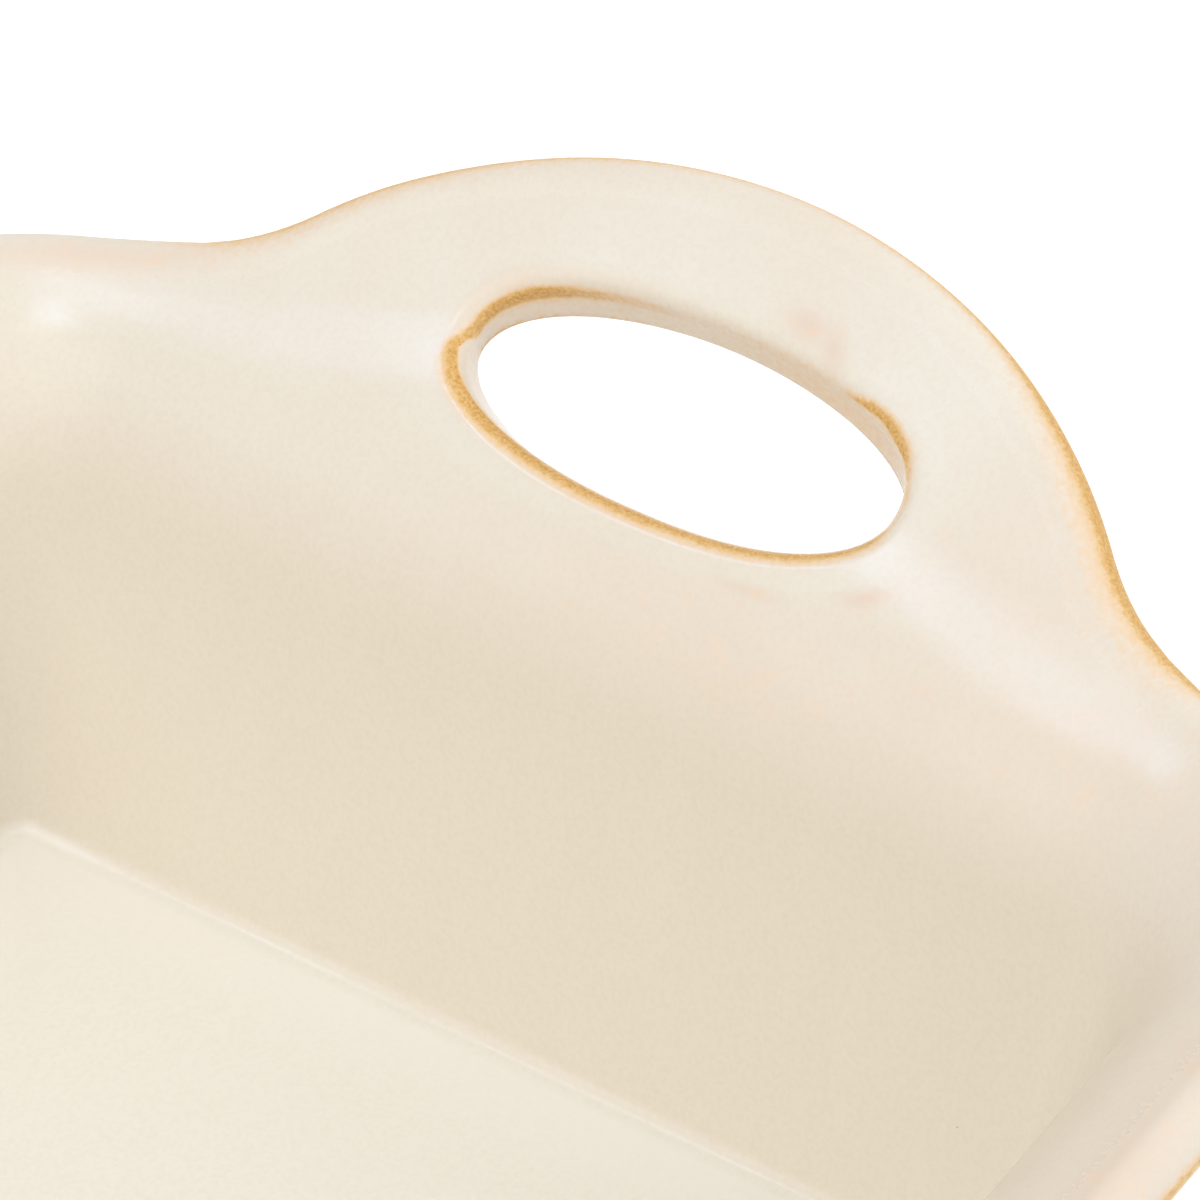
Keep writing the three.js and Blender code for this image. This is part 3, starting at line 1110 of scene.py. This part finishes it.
    def lay_top(self, net: Net, columns: np.ndarray, split: float, kind: WallKind) -> None:
        """Lay the upper part of a wall away from the finger hole.

        Args:
            net: The net that gets the patch.
            columns: Distances along the wall.
            split: Reach of the lowest row.
            kind: Handled or plain wall.
        """
        plain = np.full_like(columns, self.section.rim - self.rim_ease)
        top = self.outline_reach(columns) if kind is WallKind.HANDLED else plain
        reach = self.top_rows(top, split)
        for face in Face:
            self.add_face(net, np.broadcast_to(columns, reach.shape), reach, kind, face)

    def lay_plate(self, net: Net, bottom: np.ndarray, split: float) -> None:
        """Lay the plate round the finger hole, out to the rim.

        Args:
            net: The net that gets the plate.
            bottom: Distances along the plate's lower line.
            split: Reach of that line.
        """
        ends = np.array([-self.plate_half, self.plate_half])
        rise, fall = self.top_rows(self.outline_reach(ends), split).T
        crown = np.linspace(-self.plate_half, self.plate_half, self.crown_steps + 1)
        along = np.concatenate([bottom[:-1], np.full(len(rise) - 1, -self.plate_half), crown[:-1]])
        along = np.concatenate([along, np.full(len(fall) - 1, self.plate_half)])
        reach = np.concatenate([np.full(len(bottom) - 1, split), rise[:-1], self.outline_reach(crown[:-1])])
        reach = np.concatenate([reach, fall[:0:-1]])
        edges = [self.lay_rings(net, along, reach, face) for face in Face]
        self.lay_hole_wall(net, *edges)

    def lay_rings(self, net: Net, along: np.ndarray, reach: np.ndarray, face: Face) -> np.ndarray:
        """Lay one face of the plate in rings from the hole out to the plate's border.

        Args:
            net: The net that gets the rings.
            along: Distances along the wall of the border's points.
            reach: Distances up it.
            face: Inside or outside face.

        Returns:
            The points round the hole's edge on that face.
        """
        rim, oval = self.section.rim, self.hole.oval(face)
        stretch = oval.half_width / oval.half_height
        angle = np.arctan2((reach - rim - oval.rise) * stretch, along - oval.shift)
        hole_along, hole_up = oval.edge(angle)
        hole_reach = hole_up + rim
        length = np.hypot(along - hole_along, reach - hole_reach)
        inner = edge_steps(self.hole.radius(face) * 1.8, self.edge_rings)[:, None] / length
        border = edge_steps(self.section.thickness * 0.75, self.border_rings)[::-1]
        outer = 1 - border[:, None] / length
        between = np.linspace(0, 1, self.middle_rings + 2)[1:-1, None]
        middle = inner[-1] + between * (outer[0] - inner[-1])
        share = np.concatenate([inner, middle, outer])
        grid_along = hole_along + share * (along - hole_along)
        grid_reach = hole_reach + share * (reach - hole_reach)
        self.add_face(net, grid_along, grid_reach, WallKind.HANDLED, face, closed=True)
        offset = face.value * (self.section.thickness / 2 - self.hole.radius(face))
        return np.stack([hole_along, hole_reach, np.full_like(hole_along, offset)], axis=-1)

    def lay_hole_wall(self, net: Net, inside: np.ndarray, outside: np.ndarray) -> None:
        """Lay the wall of the finger hole between the two faces.

        Args:
            net: The net that gets the wall.
            inside: Points round the hole's edge on the inside face.
            outside: Points round it on the outside face.
        """
        share = np.linspace(0, 1, self.hole_wall_steps + 1)[:, None, None]
        grid = inside + share * (outside - inside)
        gap = np.zeros(grid.shape[:2])
        along, reach, offset = grid[..., 0], grid[..., 1], grid[..., 2]
        values = self.glaze_values(WallPatch(WallKind.HANDLED, Face.INSIDE, along, reach, offset, gap + FAR, gap))
        grid[..., 2] += self.roll(along, reach, WallKind.HANDLED) - self.section.thickness / 2
        net.add_grid(grid, True, **values)

    def lay_floor(self, net: Net, face: Face) -> None:
        """Lay the flat of the floor in rings, in its own place.

        Args:
            net: The net that gets the floor.
            face: Upper or under side.
        """
        s = self.section
        columns = self.columns()[2][:0:-1]
        held = np.clip(columns, -s.corner_centre, s.corner_centre)
        turn = (columns - held) / s.rim_radius
        radius = s.start_half - s.corner_centre
        x, y = s.corner_centre + radius * np.cos(turn), held + radius * np.sin(turn)
        ring = np.concatenate([np.stack(side) for side in ((x, y), (-y, x), (-x, -y), (y, -x))], axis=1)
        shares = np.array([1.0, 0.985, 0.95, 0.88, 0.75, 0.55, 0.3, 0.08, 0.0])
        height = s.floor_top if face is Face.INSIDE else s.floor_top - s.thickness
        flat = shares[:, None, None] * ring.T[None, :, :]
        points = np.concatenate([flat, np.full(flat.shape[:2] + (1,), height)], axis=-1)
        pooled = np.broadcast_to(-0.5 * np.clip((shares - 0.7) / 0.3, 0, 1)[:, None], flat.shape[:2])
        values = {"along": flat[:, :, 0] + 2 * NET_SPACING, "reach": flat[:, :, 1], "blush": pooled}
        net.add_grid(points, True, amber=0.0, dry=0.0, turn=0.0, swept=0.0, **values)

    def sweep_tree(self, numbers: list[str]) -> bpy.types.NodeTree:
        """Build the tree that bends the flat walls up and sets them round the floor.

        Args:
            numbers: Names of the tree's number inputs.

        Returns:
            The tree.
        """
        tree, add, size = new_tree("wall_sweep", numbers)
        bends = add(NET_VALUE, {"Name": "swept"}, data_type="FLOAT")
        swept = add("GeometryNodeSeparateGeometry", size["Geometry"], bends, domain="POINT")
        place, slope = self.swept_place(add, size)
        marked = add(
            "GeometryNodeStoreNamedAttribute",
            {"Geometry": swept, "Name": "slope", "Value": slope},
            data_type="FLOAT",
            domain="POINT",
        )
        turn = add(NET_VALUE, {"Name": "turn"}, data_type="FLOAT")
        quarter = add(MATH, turn, math.pi / 2, operation="MULTIPLY")
        turned = add("ShaderNodeVectorRotate", {"Vector": place, "Angle": quarter}, rotation_type="Z_AXIS")
        raised = add("GeometryNodeSetPosition", {"Geometry": marked, "Position": turned})
        halves = add("GeometryNodeMeshLine", {"Count": 2, "Offset": (0.0, 0.0, 0.0)})
        half_turn = add(MATH, add("GeometryNodeInputIndex"), math.pi, operation="MULTIPLY")
        spin = add(COMBINE, {"Z": half_turn})
        pairs = add("GeometryNodeInstanceOnPoints", {"Points": halves, "Instance": raised, "Rotation": spin})
        walls = add("GeometryNodeRealizeInstances", pairs)
        joined = add("GeometryNodeJoinGeometry", walls)
        tree.links.new(swept.node.outputs[1], joined.node.inputs[0])
        welded = add("GeometryNodeMergeByDistance", {"Geometry": joined, "Distance": WELD})
        moved = add("GeometryNodeSetPosition", {"Geometry": welded, "Offset": self.wobble(add, size)})
        end_tree(add, size, moved)
        return tree

    @staticmethod
    def swept_place(
        add: Adder, size: bpy.types.bpy_prop_collection
    ) -> tuple[bpy.types.NodeSocket, bpy.types.NodeSocket]:
        """Work out where a flat point lands on the wall at +X.

        Args:
            add: Adds a node to the tree.
            size: What is put into the tree.

        Returns:
            The place, and the slope of the wall there.
        """
        spot = add("GeometryNodeInputPosition")
        along, reach, shift = add("ShaderNodeSeparateXYZ", spot).node.outputs
        lean, flare, bend, cove = size["Lean"], size["Flare"], size["Bend Radius"], size["Cove Radius"]
        wall, centre = size["Wall Length"], size["Corner Centre"]
        # How much of the reach goes into the cove, the straight wall, the bend and the flare.
        coved = add(MATH, add(MATH, reach, cove, operation="DIVIDE"), lean, operation="MINIMUM")
        cove_length = add(MATH, cove, lean, operation="MULTIPLY")
        above = add(MATH, add(MATH, reach, cove_length, operation="SUBTRACT"), 0.0, operation="MAXIMUM")
        straight = add(MATH, above, wall, operation="MINIMUM")
        past = add(MATH, add(MATH, above, wall, operation="SUBTRACT"), 0.0, operation="MAXIMUM")
        full = add(MATH, lean, flare, operation="SUBTRACT")
        bent = add(MATH, add(MATH, past, bend, operation="DIVIDE"), full, operation="MINIMUM")
        bend_length = add(MATH, bend, full, operation="MULTIPLY")
        flared = add(MATH, add(MATH, past, bend_length, operation="SUBTRACT"), 0.0, operation="MAXIMUM")
        slope = add(MATH, coved, bent, operation="SUBTRACT")
        after = add(MATH, lean, bent, operation="SUBTRACT")
        # The distance out from the middle of the dish.
        run = add(MATH, coved, operation="SINE")
        out = add(MATH, cove, run, size["Floor Half Width"], operation="MULTIPLY_ADD")
        out = add(MATH, straight, add(MATH, lean, operation="COSINE"), out, operation="MULTIPLY_ADD")
        upright = add(MATH, lean, operation="SINE")
        run = add(MATH, upright, add(MATH, after, operation="SINE"), operation="SUBTRACT")
        out = add(MATH, bend, run, out, operation="MULTIPLY_ADD")
        out = add(MATH, flared, add(MATH, flare, operation="COSINE"), out, operation="MULTIPLY_ADD")
        run = add(MATH, shift, add(MATH, slope, operation="SINE"), operation="MULTIPLY")
        out = add(MATH, out, run, operation="SUBTRACT")
        # The height above the table.
        rise = add(MATH, 1.0, add(MATH, coved, operation="COSINE"), operation="SUBTRACT")
        high = add(MATH, cove, rise, size["Floor Height"], operation="MULTIPLY_ADD")
        high = add(MATH, straight, add(MATH, lean, operation="SINE"), high, operation="MULTIPLY_ADD")
        level = add(MATH, after, operation="COSINE")
        rise = add(MATH, level, add(MATH, lean, operation="COSINE"), operation="SUBTRACT")
        high = add(MATH, bend, rise, high, operation="MULTIPLY_ADD")
        high = add(MATH, flared, add(MATH, flare, operation="SINE"), high, operation="MULTIPLY_ADD")
        high = add(MATH, shift, add(MATH, slope, operation="COSINE"), high, operation="MULTIPLY_ADD")
        # The turn round a corner, past the straight part of the wall.
        low = add(MATH, centre, -1.0, operation="MULTIPLY")
        held = add(MATH, add(MATH, along, centre, operation="MINIMUM"), low, operation="MAXIMUM")
        beyond = add(MATH, along, held, operation="SUBTRACT")
        turn = add(MATH, beyond, size["Rim Radius"], operation="DIVIDE")
        radius = add(MATH, out, centre, operation="SUBTRACT")
        x = add(MATH, radius, add(MATH, turn, operation="COSINE"), centre, operation="MULTIPLY_ADD")
        y = add(MATH, radius, add(MATH, turn, operation="SINE"), held, operation="MULTIPLY_ADD")
        return add(COMBINE, x, y, high), slope

    @staticmethod
    def wobble(add: Adder, size: bpy.types.bpy_prop_collection) -> bpy.types.NodeSocket:
        """Slow unevenness of hand-built clay, fading to nothing at the base.

        Args:
            add: Adds a node to the tree.
            size: What is put into the tree.

        Returns:
            The offset of each point.
        """
        spot = add("GeometryNodeInputPosition")
        scale = add(MATH, 1.0, size["Wobble Size"], operation="DIVIDE")
        noise = add(NOISE, {"Vector": spot, "Scale": scale, "Detail": 1.0}, out="Color")
        centred = add("ShaderNodeVectorMath", noise, (0.5, 0.5, 0.5), operation="SUBTRACT")
        height = add("ShaderNodeSeparateXYZ", spot, out="Z")
        free = add(RANGE, height, 12.0 * MM, 40.0 * MM, **SMOOTH)
        reach = add(MATH, add(MATH, size["Hand Wobble"], 2.0, operation="MULTIPLY"), free, operation="MULTIPLY")
        return add("ShaderNodeVectorMath", {0: centred, "Scale": reach}, operation="SCALE")


@dataclass
class Foot:
    """Bare ring that the dish stands on, with the roll of glaze that stops above it."""

    clay: BareClayFinish
    glaze: bpy.types.Material
    outer_half: float = 69.78
    width: float = 7.0
    height: float = 3.0
    taper: float = 0.8
    corner_radius: float = 9.0
    edge_radius: float = 0.6
    roll_radius: float = 0.55
    roll_sink: float = 0.1

    def build(self) -> list[bpy.types.Object]:
        """Make the ring and the roll, dress them and tie them to the frame.

        Returns:
            The two objects.
        """
        ring = self.sweep(RingProfile.FOOT, "foot_ring_bare", self.clay.material())
        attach(ring, "root")
        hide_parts("foot_ring")
        roll = self.sweep(RingProfile.ROLL, "foot_glaze_roll", self.glaze)
        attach(roll, "root")
        return [ring, roll]

    def sweep(self, profile: RingProfile, name: str, finish: bpy.types.Material) -> bpy.types.Object:
        """Sweep one profile round the foot.

        Args:
            profile: Foot or roll.
            name: Name of the piece.
            finish: Its material.

        Returns:
            The finished object.
        """
        foot = profile is RingProfile.FOOT
        inset = self.width / 2 if foot else 0.0
        sizes = {
            "Path Width": 2 * (self.outer_half - inset) * MM,
            "Path Corner": (self.corner_radius - inset) * MM,
            "Height": (self.height / 2 if foot else self.height - self.roll_sink) * MM,
            "Top Width": self.width * MM,
            "Bottom Width": (self.width - 2 * self.taper) * MM,
            "Ring Height": self.height * MM,
            "Edge Radius": self.edge_radius * MM,
            "Roll Radius": self.roll_radius * MM,
            "Finish": finish,
        }
        start = bpy.data.meshes.new(name + "_start")
        return node_piece(name, start, self.ring_tree(profile, list(sizes)[:-1]), sizes)

    @staticmethod
    def ring_tree(profile: RingProfile, numbers: list[str]) -> bpy.types.NodeTree:
        """Build the tree that carries a profile round a square path with rounded corners.

        Args:
            profile: Foot or roll.
            numbers: Names of the tree's number inputs.

        Returns:
            The tree.
        """
        tree, add, size = new_tree("ring_sweep_" + profile.value, numbers)
        width = size["Path Width"]
        sides = {"Width": width, "Height": width}
        square = add("GeometryNodeCurvePrimitiveQuadrilateral", sides, mode="RECTANGLE")
        corners = {"Curve": square, "Radius": size["Path Corner"], "Count": 10}
        path = add("GeometryNodeFilletCurve", corners, mode="POLY")
        if profile is RingProfile.FOOT:
            sides = {
                "Bottom Width": size["Bottom Width"],
                "Top Width": size["Top Width"],
                "Height": size["Ring Height"],
                "Offset": 0.0,
            }
            block = add("GeometryNodeCurvePrimitiveQuadrilateral", sides, mode="TRAPEZOID")
            corners = {"Curve": block, "Radius": size["Edge Radius"], "Count": 4}
            shape = add("GeometryNodeFilletCurve", corners, mode="POLY")
        else:
            shape = add("GeometryNodeCurvePrimitiveCircle", {"Resolution": 12, "Radius": size["Roll Radius"]})
        swept = add("GeometryNodeCurveToMesh", {"Curve": path, "Profile Curve": shape})
        lift = add(COMBINE, {"Z": size["Height"]})
        placed = add("GeometryNodeTransform", {"Geometry": swept, "Translation": lift})
        end_tree(add, size, placed)
        return tree


@dataclass(frozen=True)
class SoftBox:
    """Soft light that faces the dish, or one that only its gloss mirrors."""

    name: str
    direction: tuple[float, float, float]
    distance: float
    width: float
    length: float
    watts: float
    use: LightUse = LightUse.FILL
    tint: str = "#FFFFFF"

    def hang(self) -> None:
        """Put the light in the scene, with its length level or, near the zenith, along Y."""
        data = bpy.data.lights.new(self.name, "AREA")
        data.shape = "RECTANGLE"
        data.size = self.width
        data.size_y = self.length
        data.energy = self.watts
        data.color = linear(self.tint)[:3]
        back = Vector(self.direction).normalized()
        level = Vector((0, 0, 1)).cross(back)
        level = level.normalized() if level.length > ZENITH_REACH else Vector((0, 1, 0))
        side = level.cross(back).normalized()
        light = bpy.data.objects.new(self.name, data)
        light.visible_glossy = self.use is LightUse.GLOSS
        light.visible_diffuse = self.use is LightUse.FILL
        turned = Matrix((side, back.cross(side), back)).transposed().to_4x4()
        light.matrix_world = Matrix.Translation(back * self.distance + LAMP_AIM) @ turned
        bpy.context.scene.collection.objects.link(light)


@dataclass
class Studio:
    """Pale floor, soft light and the camera at the photograph's angle."""

    turn_deg: float = 33.69
    height_deg: float = 41.19
    distance: float = 900.0
    pixels_per_mm: float = 8.1928
    aim_right: float = 5.43
    aim_up: float = 24.14
    aim_from: tuple[float, float, float] = (88.0, 0.0, 41.0)
    sky: float = 0.44
    floor_half: float = 6.0
    floor_colour: str = "#EAEAEA"
    floor_glow: float = 0.42
    # Each has its direction, its distance and size in metres, and its watts.
    boxes: tuple[SoftBox, ...] = (
        SoftBox("left_fill", (-0.40, 0.0, 0.92), 1.3, 0.28, 0.3, 2.6),
        SoftBox("corner_fill", (-0.27, 0.64, 0.72), 1.3, 0.3, 0.3, 0.3),
        SoftBox("right_sheen", (-0.1272, 0.3525, 0.9272), 1.305, 0.1, 0.1, 0.48, LightUse.GLOSS, "#AAC8FF"),
        SoftBox("left_sheen", (-0.1196, 0.4785, 0.87), 1.379, 0.1, 0.1, 0.46, LightUse.GLOSS, "#AAC8FF"),
        SoftBox("corner_glint", (-0.247, 0.159, 0.956), 1.3, 0.22, 0.2, 1.15, LightUse.GLOSS, "#B3D3FF"),
        SoftBox("top_fill", (0.1, 0.0, 1.0), 1.5, 1.2, 1.2, 0.4),
        SoftBox("front_fill", (-1.0, 0.1, 0.89), 1.4, 0.8, 1.2, 8.0),
        SoftBox("right_fill", (0.35, -0.85, 0.6), 1.5, 0.9, 0.9, 8.5),
        SoftBox("back_fill", (1.0, 0.35, 0.45), 1.5, 0.8, 1.2, 4.0),
    )

    def build(self) -> None:
        """Set the stage."""
        self.set_camera()
        for box in self.boxes:
            box.hang()
        self.set_sky()
        self.set_floor()
        bpy.context.scene.view_settings.view_transform = "Standard"

    def set_camera(self) -> None:
        """Place the camera on the line that the photograph was taken along."""
        a, e = math.radians(self.turn_deg), math.radians(self.height_deg)
        right = Vector((math.sin(a), -math.cos(a), 0))
        ahead = Vector((math.cos(a) * math.cos(e), math.sin(a) * math.cos(e), -math.sin(e)))
        up = right.cross(ahead)
        target = Vector(self.aim_from) + self.aim_right * right + self.aim_up * up
        data = bpy.data.cameras.new("photo_camera")
        data.sensor_width = SENSOR_MM
        data.lens = self.pixels_per_mm * self.distance / IMAGE_SIZE * SENSOR_MM
        data.clip_start = 0.01
        camera = bpy.data.objects.new("photo_camera", data)
        turned = Matrix((right, up, -ahead)).transposed().to_4x4()
        camera.matrix_world = Matrix.Translation((target - self.distance * ahead) * MM) @ turned
        bpy.context.scene.collection.objects.link(camera)
        bpy.context.scene.camera = camera

    @staticmethod
    def seen(add: Adder) -> bpy.types.NodeSocket:
        """Tell rays that the eye sees, straight or through gloss or glass, from those that light the dish.

        Args:
            add: Adds a node to the tree.

        Returns:
            The socket with 1 for a ray that is seen.
        """
        ray = add("ShaderNodeLightPath").node.outputs
        seen = add(MATH, ray["Is Camera Ray"], ray["Is Transmission Ray"], operation="MAXIMUM")
        return add(MATH, seen, ray["Is Glossy Ray"], operation="MAXIMUM")

    def set_sky(self) -> None:
        """Light the scene evenly, with a white background for the eye and for reflections."""
        world = bpy.data.worlds.new("studio_white")
        world.use_nodes = True
        world.node_tree.nodes.clear()
        add = partial(add_node, world.node_tree)
        strength = add(MATH, self.seen(add), 1.0 - self.sky, self.sky, operation="MULTIPLY_ADD")
        sky = add("ShaderNodeBackground", {"Color": linear("#FFFFFF"), "Strength": strength})
        add("ShaderNodeOutputWorld", {"Surface": sky})
        bpy.context.scene.world = world

    def set_floor(self) -> None:
        """Lay the floor of painted board: an even matt off-white that keeps the dish's shadow."""
        mesh = bpy.data.meshes.new("studio_floor")
        half = self.floor_half
        corners = [(-half, -half, 0), (half, -half, 0), (half, half, 0), (-half, half, 0)]
        mesh.from_pydata(corners, [], [(0, 1, 2, 3)])
        material, add = new_material("pale_floor")
        seen = self.seen(add)
        matt = add("ShaderNodeBsdfDiffuse", {"Color": linear(self.floor_colour)})
        glow = add("ShaderNodeEmission", {"Strength": add(MATH, seen, self.floor_glow, operation="MULTIPLY")})
        add("ShaderNodeOutputMaterial", {"Surface": add("ShaderNodeAddShader", matt, glow)})
        mesh.materials.append(material)
        floor = bpy.data.objects.new("studio_floor", mesh)
        bpy.context.scene.collection.objects.link(floor)


def main() -> None:
    """Build the dish, the foot and the studio in order."""
    logging.basicConfig(level=logging.INFO, format="%(name)s: %(message)s")
    # Each has its place along the wall and above the rim, its length, width, turn and strength.
    marks = (
        BlushMark(-10.5, 22.3, 2.8, 1.8, 15.0, 0.7),
        BlushMark(-14.8, 20.8, 3.0, 1.6, 55.0, 0.65),
        BlushMark(-19.5, -10.2, 5.5, 1.0, -4.0, 0.9),
        BlushMark(-33.0, -5.6, 2.8, 1.0, -37.0, 1.0),
        BlushMark(-54.0, 4.0, 25.0, 15.0, 0.0, 0.26),
        BlushMark(-28.0, -16.0, 46.0, 9.0, 0.0, 0.36),
        BlushMark(-66.0, -14.0, 24.0, 10.0, 0.0, 0.34),
    )
    shell = GlazedShell(WallSection(), HandleOutline(), FingerHole(), GlazeFinish(), marks).build()
    LOG.info("%s: %d faces", shell.name, len(shell.data.polygons))
    for piece in Foot(BareClayFinish(), shell.data.materials[0]).build():
        LOG.info("%s: %d faces", piece.name, len(piece.data.polygons))
    Studio().build()
    LOG.info("studio set")


if __name__ == "__main__":
    main()
